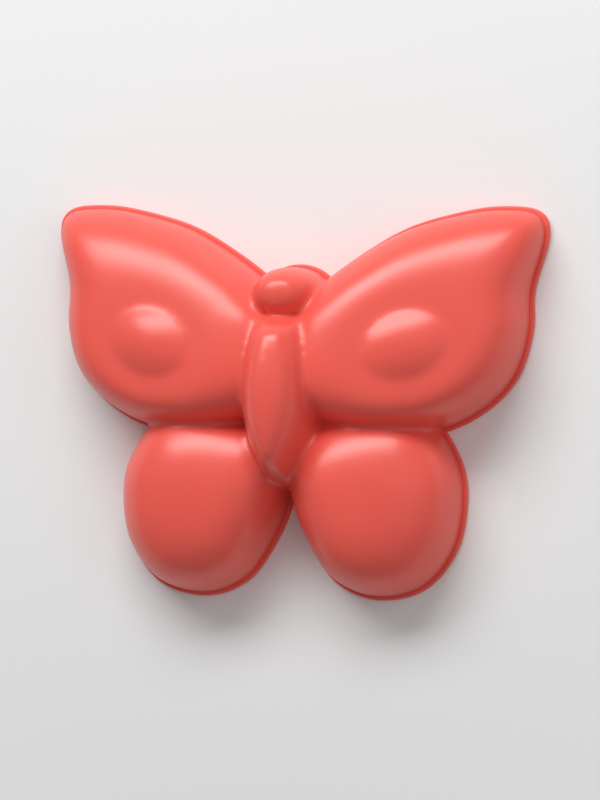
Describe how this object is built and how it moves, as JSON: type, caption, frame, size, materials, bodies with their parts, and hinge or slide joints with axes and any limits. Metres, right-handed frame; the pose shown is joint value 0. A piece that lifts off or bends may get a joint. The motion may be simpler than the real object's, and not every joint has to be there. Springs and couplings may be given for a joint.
{
  "type": "sand mould",
  "caption": "Butterfly sand mould: a thin moulded shell with domed wings, raised eye spots, a slim body, a ball head and a rim lip round its open back.",
  "frame": {"origin": "middle of the rim plane, on which the mould rests open side down", "axes": "+X across the wings, +Y towards the head, +Z out of the decorated face"},
  "size_m": [0.13, 0.1, 0.03],
  "materials": {
    "red_plastic": "soft satin gloss, moulded in colour"
  },
  "bodies": {
    "root": {"mould_shell": "red_plastic"}
  },
  "joints": []
}
